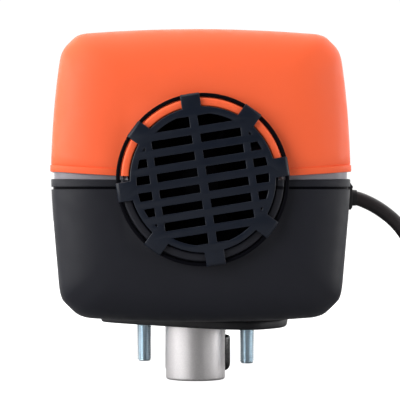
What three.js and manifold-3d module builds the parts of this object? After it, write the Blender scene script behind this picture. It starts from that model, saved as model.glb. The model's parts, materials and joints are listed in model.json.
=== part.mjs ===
// A 2 kW fuel-burning air heater for a vehicle cabin, with the pieces inside it.
// Millimetres, +Z up. The origin is the centre of the flange's seating face, the air runs along +Y
// from the intake grille to the outlet hood, and the wiring harness leaves on the +X side.

import * as THREE from 'three';
import { mergeVertices } from 'three/addons/utils/BufferGeometryUtils.js';
import Module from 'manifold-3d';

const wasm = await Module();
wasm.setup();

// ---- Driving dimensions ----

const AXIS_Z = 60.7; // height of the fan, motor and burner axis
const FIT = 0.3; // clearance between pieces that touch

const CASING = {
  halfWidth: 58.6,
  top: 119.7,
  bottom: 5.3,
  wall: 2.8,
  frontY: -99,
  rearY: 164,
  frontRoll: { depth: 15, reach: 26 }, // how the front wall rolls over into the sides
  rearRoll: { depth: 14, reach: 20 },
  rollPower: 2.7,
};
const CASING_MID_Z = (CASING.top + CASING.bottom) / 2;
const SEAM = {
  upper: { side: 64.2, middle: 62.2 }, // the upper shell's lower edge, which bows down
  lower: { side: 61.3, middle: 60.5 }, // the lower shell's upper edge
  lipTop: 66.4,
  lipDepth: 1.3,
  tongueTop: 66,
  tongueFoot: 58,
  tongueInset: 1.5,
};

const COLLAR = { outer: 30.4, inner: 28.1, frontY: -104.2 };
const GRILLE = {
  faceY: -106,
  faceThickness: 2.3,
  faceRadius: 27.8,
  tabOuter: 33.4,
  tabWallInner: 31.4, // of the tabs' outer legs
  ringOuter: 33.1,
  ringInner: 31.7,
  ringFrontY: -103.6,
  ringRearY: -99.6,
  fieldRadius: 25.2,
  tilt: THREE.MathUtils.degToRad(9), // the bars and tabs are turned a little in their collar
  sides: 48, // of its round edges: a whole number for each tab
  tabs: 8,
  tabWidth: 7.4,
  centreBar: 3.3,
  sideBar: { from: 17.1, to: 20 },
  pitch: 6.28,
  slotHeight: 3.2,
  endSlotGap: 1.5, // from the last row's pitch line to the slot above it
};
const HOOD = {
  endY: 204,
  boreRadius: 27.8,
  spigotRadius: 30,
  neckRadius: 33.6, // where it passes through the casing's rear wall
  flangeRadius: 37,
  flangeThickness: 2.4,
  gap: 0.4, // between the rear wall and each flange
  hubRadius: 7,
};

const FLANGE = { gasket: 3.6, plateBottom: 3.9, plateTop: 9.9, plateInset: 1.6 };
const STUB = { endZ: -22.9, topZ: 9.9, intakeY: -22, exhaustY: 22 };
const INTAKE_STUB = { outer: 12.5, inner: 10.5 };
const EXHAUST_STUB = { outer: 12, inner: 10 };
const STUD = { radius: 3, bottom: -16, top: 9 };
const STUD_PLACES = {
  stud_front_left: [-21.6, -12],
  stud_front_right: [21.6, -26],
  stud_rear_left: [-21.6, 26],
  stud_rear_right: [23.9, 12],
};
const FLANGE_CORNERS = [[-40, -7], [8, -54], [24, -58], [37, -43], [40.5, -8]]; // half of them
const FUEL_PIPE = { x: 11.4, y: 0, radius: 2.5, bottom: -19, top: 38.4 };
const PIPE_CAP = { outer: 4.5, bottom: -21.6, top: -5.8 };

const FAN = {
  frontY: -93.5,
  rearY: -74,
  noseRadius: 7,
  noseDepth: 11,
  hubRadius: 19,
  tipRadius: 42,
  blades: 9,
};
const BLADE = {
  thickness: 1.7,
  sections: [
    { radius: FAN.hubRadius - 3, chord: 17, pitch: 0.95 },
    { radius: 30, chord: 22, pitch: 0.72 },
    { radius: FAN.tipRadius, chord: 26, pitch: 0.55 },
  ],
};
const SHAFT = { radius: 2.5, frontY: -90, rearY: -15 };
const MOTOR = { radius: 22, wall: 2, frontY: -67, rearY: -36, capFrontY: -71, boreRadius: 4.5 };
const ARMATURE = {
  hubRadius: 6,
  radius: 14.6,
  frontY: -65.5,
  stackY: -61,
  rearY: -42,
  slots: 7,
  slotDepth: 5.1,
};
const MAGNET = { inner: 15.6, outer: 19.7, frontY: -61, rearY: -41, spread: THREE.MathUtils.degToRad(62) };
const BEARING = { frontRadius: 5.7, rearRadius: 7.7, seatRadius: 6 };
const BLOWER = { radius: 44, chamberRadius: 36.5, frontY: -35.5, rearY: -11.5, wall: 4 };
const BLOWER_NECK = { halfWidth: 14, topZ: AXIS_Z - 38, bore: 9.5 };
const BLOWER_COVER = { frontY: -11.2, rearY: -8.2, port: 6.5, portUp: 14 };
const CHAMBER_GASKET = { inner: 30, frontY: -7.9, rearY: -6.4 };
const IMPELLER = { radius: 34, frontY: -29, rearY: -17, hub: 7, disc: 4, vanes: 12, vaneFrom: 20 };
const BURNER = { outer: 24, inner: 22.6, frontY: -5.8, rearY: 92 };
const EXCHANGER = {
  flangeRadius: 44,
  flangeFrontY: -6.1,
  flangeRearY: -3.1,
  outer: 33,
  inner: 29.5,
  rearY: 142.5,
  finRadius: 46,
  fins: 16,
  finFrontY: 18,
  finRearY: 132,
};
const SCREW = { circle: 40.3, radius: 1.8, headRadius: 3.5, headFrontY: -39 };
const GLOW_PLUG = { y: 8, tip: 12, tipRadius: 2.1, seat: 27, radius: 4.8, head: 44, hexRadius: 6.8, top: 48 };
const GLOW_BOSS = { radius: 8, from: 30, to: 43, bore: 5.1 };
const SENSOR = { y: 70, radius: 7, seat: 42, seatHalf: 10, top: 47.4 };
const BURNER_PORTS = { radius: 2.4, y: 45, sensorRadius: 5.2 };
const SCREEN = { frontY: 16, rearY: 17.5, hole: 3.2, circle: 13, holes: 6 };

const CONTROL = {
  halfWidth: 36,
  frontY: -70,
  rearY: -40,
  bottom: 88,
  top: 107,
  wall: 2,
  lid: 2,
  screwX: 31,
  boardBottom: 94,
  boardHalfWidth: 27,
};
const SADDLE = { halfWidth: 14, frontY: -62, rearY: -42 };
const LID_SCREW = { radius: 1.3, hole: 1.6, headRadius: 2.8 };
const CONTROL_MID_Y = (CONTROL.frontY + CONTROL.rearY) / 2;

const EXIT = { y: -62, z: 53.8 }; // where the harness leaves the lower shell
const GROMMET = { halfLength: 8, bottom: 48.9, top: 58.7, rim: 1.4, faceX: 59.5, sleeveEndX: 63.8 };

// The harness lies on the plane of the stubs' ends, coiled beside the heater.
const CORD = { radius: 2.8, floor: STUB.endZ };
const COIL = { x: 124, y: -33.8, inner: 25.2, outer: 37.2, bottom: STUB.endZ + 0.7, height: 5.8 };
const CONNECTOR = { x: 158, y0: 2, y1: 34, halfWidth: 11, height: 14 };

// ---- Materials ----

const finish = (color, roughness, metalness = 0) =>
  new THREE.MeshStandardMaterial({ color, roughness, metalness });

const orangePlastic = finish(0xf0643a, 0.5);
const blackPlastic = finish(0x2a2c35, 0.5);
const darkPlastic = finish(0x191c24, 0.55);
const rubber = finish(0x1b1b1d, 0.8);
const cordSheath = finish(0x2e2a2a, 0.6);
const castAluminium = finish(0xb9b7b8, 0.55, 0.7);
const zincSteel = finish(0x9fb2c0, 0.35, 0.9);
const steel = finish(0xa8a8aa, 0.35, 0.9);
const gasketFibre = finish(0x4a4743, 0.9);
const boardGreen = finish(0x1f5a36, 0.6);

// ---- Solids ----

function solid(geometry) {
  geometry.deleteAttribute('normal');
  geometry.deleteAttribute('uv');
  const merged = mergeVertices(geometry, 1e-4);
  const triVerts = new Uint32Array(merged.index.array);
  const vertProperties = merged.attributes.position.array;
  return new wasm.Manifold(new wasm.Mesh({ numProp: 3, vertProperties, triVerts }));
}

const join = (...solids) => solids.reduce((whole, piece) => whole.add(piece));
const cut = (base, ...tools) => base.subtract(join(...tools));

function named(name, shape, material) {
  const { vertProperties, triVerts } = shape.getMesh();
  const geometry = new THREE.BufferGeometry();
  geometry.setAttribute('position', new THREE.BufferAttribute(vertProperties, 3));
  geometry.setIndex(new THREE.BufferAttribute(triVerts, 1));
  geometry.computeVertexNormals();
  const mesh = new THREE.Mesh(geometry, material);
  mesh.name = name;
  return mesh;
}

function box(x0, x1, y0, y1, z0, z1) {
  const geometry = new THREE.BoxGeometry(x1 - x0, y1 - y0, z1 - z0);
  return solid(geometry.translate((x0 + x1) / 2, (y0 + y1) / 2, (z0 + z1) / 2));
}

function rodX(radius, x0, x1, y, z, sides = 16) {
  const geometry = new THREE.CylinderGeometry(radius, radius, x1 - x0, sides).rotateZ(Math.PI / 2);
  return solid(geometry.translate((x0 + x1) / 2, y, z));
}

function rodY(radius, y0, y1, x = 0, z = AXIS_Z, sides = 24) {
  const geometry = new THREE.CylinderGeometry(radius, radius, y1 - y0, sides);
  return solid(geometry.translate(x, (y0 + y1) / 2, z));
}

function rodZ(radius, z0, z1, x = 0, y = 0, sides = 24) {
  const geometry = new THREE.CylinderGeometry(radius, radius, z1 - z0, sides).rotateX(Math.PI / 2);
  return solid(geometry.translate(x, y, (z0 + z1) / 2));
}

const lathe = (profile, sides) =>
  new THREE.LatheGeometry(profile.map(([r, h]) => new THREE.Vector2(r, h)), sides);

// A closed profile of [radius, y], turned about the fan axis.
const turned = (profile, sides = 32) => solid(lathe(profile, sides).translate(0, 0, AXIS_Z));

// A closed profile of [radius, z], turned about a vertical axis.
const turnedUp = (profile, x, y, sides = 24) =>
  solid(lathe(profile, sides).rotateX(Math.PI / 2).translate(x, y, 0));

// An outline in x and z, carried along Y.
function slabY(shape, y0, y1, curveSegments = 8) {
  const geometry = new THREE.ExtrudeGeometry(shape, { depth: y1 - y0, bevelEnabled: false, curveSegments });
  return solid(geometry.rotateX(Math.PI / 2).translate(0, y1, 0));
}

// An outline in x and y, carried along Z.
function slabZ(shape, z0, z1, curveSegments = 3) {
  const geometry = new THREE.ExtrudeGeometry(shape, { depth: z1 - z0, bevelEnabled: false, curveSegments });
  return solid(geometry.translate(0, 0, z0));
}

// A skin over rings of points that all have the same count, closed by a fan at each end.
function loft(rings) {
  const count = rings[0].length;
  const points = rings.flat();
  const ends = [rings[0], rings.at(-1)].map((ring) =>
    ring.reduce((sum, p) => sum.add(p), new THREE.Vector3()).divideScalar(count));
  const positions = [...points, ...ends].flatMap((p) => p.toArray());
  const index = [];
  const last = (rings.length - 1) * count;
  for (let j = 0; j < count; j++) {
    const k = (j + 1) % count;
    for (let i = 0; i < last; i += count) {
      index.push(i + k, i + j, i + count + j, i + k, i + count + j, i + count + k);
    }
    index.push(j, k, points.length, last + k, last + j, points.length + 1);
  }
  const geometry = new THREE.BufferGeometry();
  geometry.setAttribute('position', new THREE.Float32BufferAttribute(positions, 3));
  geometry.setIndex(index);
  return solid(geometry);
}

// A round lead or pipe through the given points.
function lead(points, radius, steps, sides = 8) {
  const route = new THREE.CatmullRomCurve3(points.map((p) => new THREE.Vector3(...p)), false, 'centripetal');
  const section = new THREE.Shape();
  for (let i = 0; i < sides; i++) {
    const angle = (2 * Math.PI * i) / sides;
    section.lineTo(radius * Math.cos(angle), radius * Math.sin(angle));
  }
  section.curves.shift();
  return solid(new THREE.ExtrudeGeometry(section, { steps, extrudePath: route, bevelEnabled: false }));
}

// Turns a solid about the fan axis.
function spun(shape, angle) {
  const degrees = THREE.MathUtils.radToDeg(angle);
  return shape.translate([0, 0, -AXIS_Z]).rotate([0, degrees, 0]).translate([0, 0, AXIS_Z]);
}

function around(count, make, start = 0) {
  return Array.from({ length: count }, (_, i) => spun(make(), start + (2 * Math.PI * i) / count));
}

// ---- Casing ----

// The casing's section in x and z: bowed floor and crown, drafted sides and chamfered, rounded corners.
function casingSection() {
  const { halfWidth, top, bottom } = CASING;
  const half = new THREE.Path();
  half.moveTo(0, bottom);
  half.quadraticCurveTo(24, bottom, 42, bottom + 1.4);
  half.quadraticCurveTo(47.2, bottom + 1.6, 49.8, bottom + 3.5);
  half.lineTo(53.9, bottom + 7.5);
  half.quadraticCurveTo(55.5, bottom + 9.3, 55.8, bottom + 14.2);
  half.bezierCurveTo(56.6, 34, 58.3, 50, halfWidth, CASING_MID_Z);
  half.bezierCurveTo(58.5, 76, 57.2, 94, 55.2, top - 13);
  half.quadraticCurveTo(54.9, top - 8.8, 52.8, top - 6.3);
  half.lineTo(49.9, top - 3.4);
  half.quadraticCurveTo(48.1, top - 1.8, 43.4, top - 1.7);
  half.quadraticCurveTo(20, top, 0, top);
  const right = half.getPoints(3);
  const left = right.slice(1, -1).reverse().map((p) => new THREE.Vector2(-p.x, p.y));
  return [...right, ...left];
}

// Where each section lies and how far it is drawn in, so that both ends roll over smoothly.
function casingStations() {
  const steps = 4;
  const roll = (endY, { depth, reach }, outward) =>
    Array.from({ length: steps + 1 }, (_, i) => {
      const angle = (Math.PI / 2) * (i / steps);
      const along = Math.sin(angle) ** (2 / CASING.rollPower);
      const across = Math.cos(angle) ** (2 / CASING.rollPower);
      return { y: endY - outward * depth * (1 - along), drawnIn: reach * (1 - across), outward };
    });
  const front = roll(CASING.frontY, CASING.frontRoll, -1).reverse();
  return [...front, ...roll(CASING.rearY, CASING.rearRoll, 1)];
}

// The whole casing as one solid, drawn in everywhere by the inset.
function casingBody(inset) {
  const section = casingSection();
  const halfHeight = (CASING.top - CASING.bottom) / 2;
  return loft(casingStations().map(({ y, drawnIn, outward }) => {
    const across = 1 - (drawnIn + inset) / CASING.halfWidth;
    const up = 1 - (drawnIn + inset) / halfHeight;
    return section.map((p) =>
      new THREE.Vector3(p.x * across, y - outward * inset, CASING_MID_Z + (p.y - CASING_MID_Z) * up));
  }));
}

// Everything above (or, mirrored, below) a split that bows a little between its sides.
function splitTool({ side, middle }, farZ) {
  const reach = CASING.halfWidth + 10;
  const shape = new THREE.Shape();
  shape.moveTo(-reach, side);
  shape.quadraticCurveTo(0, 2 * middle - side, reach, side);
  shape.lineTo(reach, farZ);
  shape.lineTo(-reach, farZ);
  return slabY(shape, CASING.frontY - 20, CASING.rearY + 20, 6);
}

// The open collar that the intake grille clips round, and the round hole that holds the outlet hood.
function casingWhole() {
  const body = casingBody(0);
  const collar = rodY(COLLAR.outer, COLLAR.frontY, CASING.frontY + 1, 0, AXIS_Z, 36);
  const collarBore = rodY(COLLAR.inner, COLLAR.frontY - 1, CASING.frontY + 6, 0, AXIS_Z, 36);
  const hoodHole = rodY(HOOD.neckRadius + FIT, CASING.rearY - 8, CASING.rearY + 4, 0, AXIS_Z, 32);
  return cut(join(body, collar), casingBody(CASING.wall), collarBore, hoodHole);
}

function upperShell(whole) {
  const { upper, lipTop, lipDepth } = SEAM;
  const above = splitTool(upper, CASING.top + 10);
  const rebate = casingBody(lipDepth).intersect(splitTool({ side: lipTop, middle: lipTop }, lipTop - 26));
  return whole.intersect(above).subtract(rebate);
}

function sideHole(side) {
  const { halfLength, bottom, top } = GROMMET;
  const x = side * CASING.halfWidth;
  return box(x - 6, x + 6, EXIT.y - halfLength + 1, EXIT.y + halfLength - 1, bottom + 1, top - 1);
}

function lowerShell(whole) {
  const { lower, tongueTop, tongueFoot, tongueInset } = SEAM;
  const { halfWidth, frontY, rearY, wall, bottom } = CASING;
  const below = splitTool(lower, bottom - 15);
  const ring = casingBody(tongueInset).subtract(casingBody(wall));
  const reach = halfWidth + 2;
  const band = box(-reach, reach, frontY - 10, rearY + 5, tongueFoot, tongueTop);
  const collarRound = rodY(COLLAR.outer + 1, frontY - 11, frontY + 8, 0, AXIS_Z, 24);
  const hoodRound = rodY(HOOD.neckRadius + 1, rearY - 8, rearY + 4, 0, AXIS_Z, 24);
  const tongue = ring.intersect(band).subtract(join(collarRound, hoodRound));
  const floorHole = slabZ(flangeOutline(-0.8), 0, bottom + 9);
  return cut(join(whole.intersect(below), tongue), floorHole, sideHole(1), sideHole(-1));
}

// ---- Intake grille ----

// A slot's outline: a rectangle, cut off by the round field where it reaches past it.
function slotOutline(u0, u1, v0, v1) {
  const edge = (v) => Math.sqrt(GRILLE.fieldRadius ** 2 - v ** 2);
  const corners = [[u0, v0], [Math.min(u1, edge(v0)), v0]];
  if (u1 > edge(v1)) {
    for (const part of [0.25, 0.5, 0.75]) {
      const v = v0 + (v1 - v0) * part;
      if (edge(v) < u1) corners.push([edge(v), v]);
    }
  }
  const last = Math.min(u1, edge(v1));
  if (last > u0 + 0.1) corners.push([last, v1]);
  corners.push([u0, v1]);
  return corners;
}

// The slots of one quarter, in the grille's own turned directions.
function quarterSlots() {
  const { fieldRadius, centreBar, sideBar, pitch, slotHeight, endSlotGap } = GRILLE;
  const slots = [];
  for (let row = 0; row < 3; row++) {
    const v0 = (row + 0.5) * pitch - slotHeight / 2;
    slots.push(slotOutline(centreBar / 2, sideBar.from, v0, v0 + slotHeight));
    if (row < 2) slots.push(slotOutline(sideBar.to, fieldRadius, v0, v0 + slotHeight));
  }
  const end = 3 * pitch + endSlotGap;
  slots.push(slotOutline(centreBar / 2, fieldRadius, end, Math.sqrt(fieldRadius ** 2 - centreBar ** 2 / 4)));
  return slots;
}

function grilleFace() {
  const { faceY, faceThickness, faceRadius } = GRILLE;
  const disc = rodY(faceRadius, faceY, faceY + faceThickness, 0, AXIS_Z, GRILLE.sides);
  const slots = [[1, 1], [-1, 1], [-1, -1], [1, -1]].flatMap(([su, sv]) =>
    quarterSlots().map((slot) => {
      const outline = slot.map(([u, v]) => new THREE.Vector2(su * u, sv * v));
      return slabY(new THREE.Shape(outline), faceY - 1, faceY + faceThickness + 1);
    }));
  return disc.subtract(join(...slots).translate([0, 0, AXIS_Z]));
}

// The slotted disc, held by hooked tabs to a ring that clips round the outside of the collar.
function intakeGrille() {
  const { faceY, faceRadius, tabOuter, tabWallInner, tabWidth } = GRILLE;
  const { ringOuter, ringInner, ringFrontY, ringRearY } = GRILLE;
  const ring = turned([[ringInner, ringFrontY], [ringOuter, ringFrontY], [ringOuter, ringRearY],
    [ringInner, ringRearY], [ringInner, ringFrontY]], GRILLE.sides);
  const strip = (from, rearY) =>
    box(from, tabOuter + 1, faceY - 1, rearY, AXIS_Z - tabWidth / 2, AXIS_Z + tabWidth / 2);
  const tab = () => join(strip(faceRadius - 1.5, COLLAR.frontY - FIT), strip(tabWallInner, ringRearY - 2));
  const rounded = turned([[0, faceY], [tabOuter - 1, faceY], [tabOuter, faceY + 1],
    [tabOuter, ringRearY], [0, ringRearY]], GRILLE.sides);
  const tabs = join(...around(GRILLE.tabs, tab)).intersect(rounded);
  return spun(join(ring, tabs, grilleFace()), -GRILLE.tilt);
}

// ---- Outlet hood ----

function outletHood() {
  const { endY, boreRadius, spigotRadius, flangeRadius, neckRadius, hubRadius } = HOOD;
  const inner = CASING.rearY - CASING.wall - HOOD.gap;
  const outer = CASING.rearY + HOOD.gap;
  const thickness = HOOD.flangeThickness;
  const body = turned([
    [boreRadius, inner - thickness], [flangeRadius, inner - thickness], [flangeRadius, inner],
    [neckRadius, inner], [neckRadius, outer], [flangeRadius, outer],
    [flangeRadius, outer + thickness], [spigotRadius, outer + thickness + 1.6],
    [spigotRadius, endY - 1.2], [spigotRadius - 0.6, endY], [boreRadius, endY],
    [boreRadius, inner - thickness]], 32);
  const spoke = () => box(0, boreRadius + 0.8, endY - 6, endY - 3, AXIS_Z - 1.2, AXIS_Z + 1.2);
  return join(body, rodY(hubRadius, endY - 6.6, endY - 2.4), ...around(3, spoke, Math.PI / 2));
}

// ---- Flange, stubs and studs ----

// The flange's outline, a rounded parallelogram that is the same when turned half round.
function flangeOutline(inset) {
  const corners = [...FLANGE_CORNERS, ...FLANGE_CORNERS.map(([x, y]) => [-x, -y])];
  const points = corners.map(([x, y]) => {
    const p = new THREE.Vector2(x, y);
    return p.setLength(p.length() - inset);
  });
  const shape = new THREE.Shape();
  const rounding = 0.35;
  points.forEach((corner, i) => {
    const before = points.at(i - 1);
    const after = points[(i + 1) % points.length];
    const start = corner.clone().lerp(before, rounding);
    const end = corner.clone().lerp(after, rounding);
    if (i) shape.lineTo(start.x, start.y);
    else shape.moveTo(start.x, start.y);
    shape.quadraticCurveTo(corner.x, corner.y, end.x, end.y);
  });
  shape.closePath();
  return shape;
}

function flangeHoles(z0, z1, clearance) {
  const studs = Object.values(STUD_PLACES).map(([x, y]) =>
    rodZ(STUD.radius + clearance, z0, z1, x, y, 12));
  return join(...studs, rodZ(INTAKE_STUB.outer + clearance, z0, z1, 0, STUB.intakeY, 24),
    rodZ(EXHAUST_STUB.outer + clearance, z0, z1, 0, STUB.exhaustY, 24),
    rodZ(FUEL_PIPE.radius + clearance, z0, z1, FUEL_PIPE.x, FUEL_PIPE.y, 12));
}

const flangeGasket = () =>
  slabZ(flangeOutline(0), 0, FLANGE.gasket).subtract(flangeHoles(-1, FLANGE.gasket + 1, FIT));

function mountingFlange() {
  const { plateBottom, plateTop, plateInset } = FLANGE;
  return slabZ(flangeOutline(plateInset), plateBottom, plateTop)
    .subtract(flangeHoles(plateBottom - 1, plateTop + 1, FIT));
}

function stub({ outer, inner }, y) {
  const { endZ, topZ } = STUB;
  return turnedUp([[inner, endZ], [outer - 0.8, endZ], [outer, endZ + 0.8], [outer, topZ],
    [inner, topZ], [inner, endZ]], 0, y, 28);
}

const stud = ([x, y]) => turnedUp([[0, STUD.bottom], [STUD.radius - 0.7, STUD.bottom],
  [STUD.radius, STUD.bottom + 0.9], [STUD.radius, STUD.top], [0, STUD.top]], x, y, 12);

const fuelPipe = () =>
  turnedUp([[1, FUEL_PIPE.bottom], [FUEL_PIPE.radius, FUEL_PIPE.bottom],
    [FUEL_PIPE.radius, FUEL_PIPE.top], [1, FUEL_PIPE.top], [1, FUEL_PIPE.bottom]],
  FUEL_PIPE.x, FUEL_PIPE.y, 12);

function fuelPipeCap() {
  const { outer, bottom, top } = PIPE_CAP;
  const bore = FUEL_PIPE.radius + FIT;
  return turnedUp([[0, bottom], [outer - 1.6, bottom], [outer, bottom + 2],
    [outer, top - 0.6], [outer - 0.6, top], [bore, top], [bore, FUEL_PIPE.bottom - FIT],
    [0, FUEL_PIPE.bottom - FIT]], FUEL_PIPE.x, FUEL_PIPE.y, 12);
}

// ---- Rotor and motor ----

// One fan blade: a thin plate that twists from its root to its tip.
function fanBlade() {
  const middleY = (FAN.frontY + FAN.rearY) / 2 + 1;
  const corners = [[-1, -1], [-1, 1], [1, 1], [1, -1]];
  return loft(BLADE.sections.map(({ radius, chord, pitch }) =>
    corners.map(([a, b]) => {
      const along = (a * chord) / 2;
      const off = (b * BLADE.thickness) / 2;
      return new THREE.Vector3(along * Math.cos(pitch) - off * Math.sin(pitch),
        middleY + along * Math.sin(pitch) + off * Math.cos(pitch), AXIS_Z + radius);
    })));
}

function hotAirFan() {
  const { frontY, rearY, noseRadius, noseDepth, hubRadius } = FAN;
  const bore = SHAFT.radius + FIT;
  const hub = turned([[0, frontY], [noseRadius, frontY + 1], [hubRadius, frontY + noseDepth],
    [hubRadius, rearY], [bore, rearY], [bore, SHAFT.frontY - FIT], [0, SHAFT.frontY - FIT]], 18);
  return join(hub, ...around(FAN.blades, fanBlade));
}

const motorShaft = () => rodY(SHAFT.radius, SHAFT.frontY, SHAFT.rearY, 0, AXIS_Z, 12);

// A stack of slotted steel sheets with the commutator in front of it.
function armature() {
  const { hubRadius, radius, frontY, stackY, rearY, slots, slotDepth } = ARMATURE;
  const bore = SHAFT.radius + FIT;
  const body = turned([[bore, frontY], [hubRadius, frontY], [hubRadius, stackY], [radius, stackY + 1],
    [radius, rearY], [bore, rearY], [bore, frontY]], 18);
  const slot = () =>
    box(radius - slotDepth, radius + 1, stackY - 1, rearY + 1, AXIS_Z - 0.9, AXIS_Z + 0.9);
  return body.subtract(join(...around(slots, slot)));
}

function magnet(side) {
  const { inner, outer, frontY, rearY, spread } = MAGNET;
  const shape = new THREE.Shape();
  const middle = side > 0 ? 0 : Math.PI;
  shape.absarc(0, AXIS_Z, outer, middle - spread, middle + spread, false);
  shape.absarc(0, AXIS_Z, inner, middle + spread, middle - spread, true);
  return slabY(shape, frontY, rearY, 5);
}

function motorCan() {
  const { radius, wall, frontY, rearY, boreRadius } = MOTOR;
  return turned([[radius - wall, frontY], [radius, frontY], [radius, rearY - 1], [radius - 1, rearY],
    [boreRadius, rearY], [boreRadius, rearY - wall], [radius - wall, rearY - wall],
    [radius - wall, frontY]], 24);
}

function motorEndCap() {
  const { radius, frontY, capFrontY } = MOTOR;
  const seat = BEARING.seatRadius;
  const rear = frontY - FIT;
  return turned([[seat, rear], [seat, capFrontY], [radius, capFrontY], [radius, rear], [seat, rear]], 24);
}

const bearing = (outer, frontY, rearY) =>
  turned([[SHAFT.radius + FIT, frontY], [outer, frontY], [outer, rearY], [SHAFT.radius + FIT, rearY],
    [SHAFT.radius + FIT, frontY]], 12);

// ---- Combustion air blower ----

function screwHoles(y0, y1) {
  return join(...around(4, () => rodY(SCREW.radius + FIT, y0, y1, SCREW.circle, AXIS_Z, 8), Math.PI / 4));
}

function blowerHousing() {
  const { radius, chamberRadius, frontY, rearY, wall } = BLOWER;
  const cup = turned([[8, frontY], [radius, frontY], [radius, rearY], [chamberRadius, rearY],
    [chamberRadius, frontY + wall], [8, frontY + wall], [8, frontY]], 28);
  const { halfWidth, topZ } = BLOWER_NECK;
  const neck = box(-halfWidth, halfWidth, frontY, rearY, FLANGE.plateTop + FIT, topZ);
  const bore = rodZ(BLOWER_NECK.bore, FLANGE.plateTop - 1, topZ + 8, 0, STUB.intakeY, 16);
  return cut(join(cup, neck), bore, screwHoles(frontY - 1, rearY + 1));
}

function blowerCover() {
  const { frontY, rearY, port: portRadius, portUp } = BLOWER_COVER;
  const plate = turned([[0, frontY], [BLOWER.radius, frontY], [BLOWER.radius, rearY], [0, rearY]], 28);
  const port = rodY(portRadius, frontY - 1, rearY + 1, 0, AXIS_Z + portUp, 12);
  return cut(plate, port, screwHoles(frontY - 1, rearY + 1));
}

function chamberGasket() {
  const { inner, frontY, rearY } = CHAMBER_GASKET;
  const sheet = turned([[inner, frontY], [BLOWER.radius, frontY], [BLOWER.radius, rearY], [inner, rearY],
    [inner, frontY]], 28);
  return sheet.subtract(screwHoles(frontY - 1, rearY + 1));
}

function combustionFan() {
  const { radius, frontY, rearY, hub, disc, vanes, vaneFrom } = IMPELLER;
  const bore = SHAFT.radius + FIT;
  const wheel = turned([[bore, frontY], [hub, frontY], [hub, rearY - disc], [radius, rearY - disc],
    [radius, rearY], [bore, rearY], [bore, frontY]], 24);
  const vane = () =>
    box(vaneFrom, radius - 0.6, frontY + 2, rearY - disc + 1, AXIS_Z - 0.8, AXIS_Z + 0.8);
  return join(wheel, ...around(vanes, vane));
}

const chamberScrew = (angle) =>
  spun(join(rodY(SCREW.headRadius, SCREW.headFrontY, BLOWER.frontY - FIT, SCREW.circle, AXIS_Z, 8),
    rodY(SCREW.radius, SCREW.headFrontY + 1, EXCHANGER.flangeRearY, SCREW.circle, AXIS_Z, 8)), angle);

// ---- Burner and heat exchanger ----

function burnerTube() {
  const { outer, inner, frontY, rearY } = BURNER;
  const wall = outer - inner;
  const inlet = 9;
  const tube = turned([[inlet, frontY], [outer, frontY], [outer, rearY], [inner, rearY],
    [inner, frontY + wall], [inlet, frontY + wall], [inlet, frontY]], 24);
  const { radius, y, sensorRadius } = BURNER_PORTS;
  const air = [0, 1].map((turn) =>
    spun(rodX(radius, -outer - 6, outer + 6, y, AXIS_Z, 6), Math.PI / 4 + (turn * Math.PI) / 2));
  return cut(tube, rodZ(sensorRadius, AXIS_Z + 15, AXIS_Z + 30, 0, GLOW_PLUG.y, 10), ...air);
}

function flameScreen() {
  const { frontY, rearY, hole: holeRadius, circle, holes } = SCREEN;
  const disc = rodY(BURNER.inner - FIT, frontY, rearY, 0, AXIS_Z, 24);
  const hole = (out) => rodY(holeRadius, frontY - 1, rearY + 1, out, AXIS_Z, 6);
  return cut(disc, hole(0), ...around(holes, () => hole(circle)));
}

// A finned casting, closed at its far end, with bosses for the exhaust, glow plug and sensor.
function heatExchanger() {
  const { flangeRadius, flangeFrontY, flangeRearY, outer, inner, rearY, finRadius, fins } = EXCHANGER;
  const body = turned([[inner, flangeFrontY], [flangeRadius, flangeFrontY], [flangeRadius, flangeRearY],
    [outer, flangeRearY], [outer, rearY - 8], [outer - 8, rearY], [0, rearY],
    [0, rearY - 3.5], [inner - 7, rearY - 3.5], [inner, rearY - 10], [inner, flangeFrontY]], 28);
  const fin = () =>
    box(outer - 1, finRadius, EXCHANGER.finFrontY, EXCHANGER.finRearY, AXIS_Z - 1, AXIS_Z + 1);
  const up = (height) => AXIS_Z + height;
  const exhaustBoss = rodZ(EXHAUST_STUB.outer + 1.5, STUB.topZ + FIT, up(4 - outer), 0, STUB.exhaustY, 16);
  const glowBoss = rodZ(GLOW_BOSS.radius, up(GLOW_BOSS.from), up(GLOW_BOSS.to), 0, GLOW_PLUG.y, 12);
  const { y, seat, seatHalf } = SENSOR;
  const sensorSeat = box(-seatHalf + 1, seatHalf - 1, y - seatHalf, y + seatHalf, up(outer - 2), up(seat));
  const whole = join(body, ...around(fins, fin, Math.PI / 2), exhaustBoss, glowBoss, sensorSeat);
  return cut(whole,
    box(-seatHalf + 1, seatHalf - 1, y - seatHalf - 2, y + seatHalf + 2, up(seat), up(finRadius + 4)),
    rodZ(EXHAUST_STUB.inner, STUB.topZ - 1, up(8 - outer), 0, STUB.exhaustY, 16),
    rodZ(GLOW_BOSS.bore, up(GLOW_BOSS.from - 5), up(GLOW_BOSS.to + 1), 0, GLOW_PLUG.y, 12),
    rodZ(FUEL_PIPE.radius + FIT, 0, up(-20), FUEL_PIPE.x, FUEL_PIPE.y, 8),
    screwHoles(flangeFrontY - 1, flangeRearY + 1));
}

function glowPlug() {
  const { y, tip, tipRadius, seat, radius, head, hexRadius, top } = GLOW_PLUG;
  const z = (height) => AXIS_Z + height;
  const body = turnedUp([[0, z(tip)], [tipRadius, z(tip + 0.8)], [tipRadius, z(seat - 1)],
    [radius, z(seat)], [radius, z(head)], [0, z(head)]], 0, y, 12);
  const hexagon = rodZ(hexRadius, z(head - 0.7), z(top), 0, y, 6);
  return join(body, hexagon, rodZ(2, z(top - 1), z(top + 4), 0, y, 8));
}

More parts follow.
